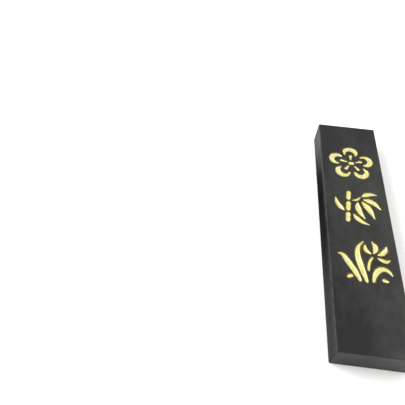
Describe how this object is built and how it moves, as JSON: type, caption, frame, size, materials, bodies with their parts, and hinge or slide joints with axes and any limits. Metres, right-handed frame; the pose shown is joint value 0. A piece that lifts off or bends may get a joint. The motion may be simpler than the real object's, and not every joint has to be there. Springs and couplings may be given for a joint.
{
  "type": "ink stick",
  "caption": "Flat rectangular block of pressed ink with softly rounded edges and gold-painted plant motifs sunk in its face, ground on a wet stone to make ink.",
  "frame": {"origin": "centre of the back face, which is the face that the stick lies on", "axes": "+Z out of the decorated front face, +Y towards the top end of the motifs, +X to the right of someone reading the face"},
  "size_m": [0.023, 0.098, 0.0092],
  "materials": {
    "pressed_ink": "pressed lampblack and glue, dried and lightly waxed: near black with a soft satin sheen",
    "gold_paint": "brushed gold-powder paint, pale yellow and satin, slightly uneven"
  },
  "bodies": {
    "root": {"bamboo_culm_1_gold": "gold_paint", "bamboo_culm_2_gold": "gold_paint", "bamboo_culm_3_gold": "gold_paint", "bamboo_leaf_1_gold": "gold_paint", "bamboo_leaf_2_gold": "gold_paint", "bamboo_leaf_3_gold": "gold_paint", "bamboo_leaf_4_gold": "gold_paint", "bamboo_leaf_5_gold": "gold_paint", "bamboo_leaf_6_gold": "gold_paint", "bamboo_twig_gold": "gold_paint", "ink_bar": "pressed_ink", "moss_dot_1_gold": "gold_paint", "moss_dot_2_gold": "gold_paint", "orchid_blade_1_gold": "gold_paint", "orchid_blade_2_gold": "gold_paint", "orchid_blade_3_gold": "gold_paint", "orchid_petal_1_gold": "gold_paint", "orchid_petal_2_gold": "gold_paint", "orchid_petal_3_gold": "gold_paint", "orchid_petal_4_gold": "gold_paint", "orchid_stem_gold": "gold_paint", "plum_eye_gold": "gold_paint", "plum_petal_1_gold": "gold_paint", "plum_petal_2_gold": "gold_paint", "plum_petal_3_gold": "gold_paint", "plum_petal_4_gold": "gold_paint", "plum_petal_5_gold": "gold_paint", "plum_stamen_1_gold": "gold_paint", "plum_stamen_2_gold": "gold_paint", "plum_stamen_3_gold": "gold_paint", "plum_stamen_4_gold": "gold_paint", "plum_stamen_5_gold": "gold_paint"}
  },
  "joints": []
}
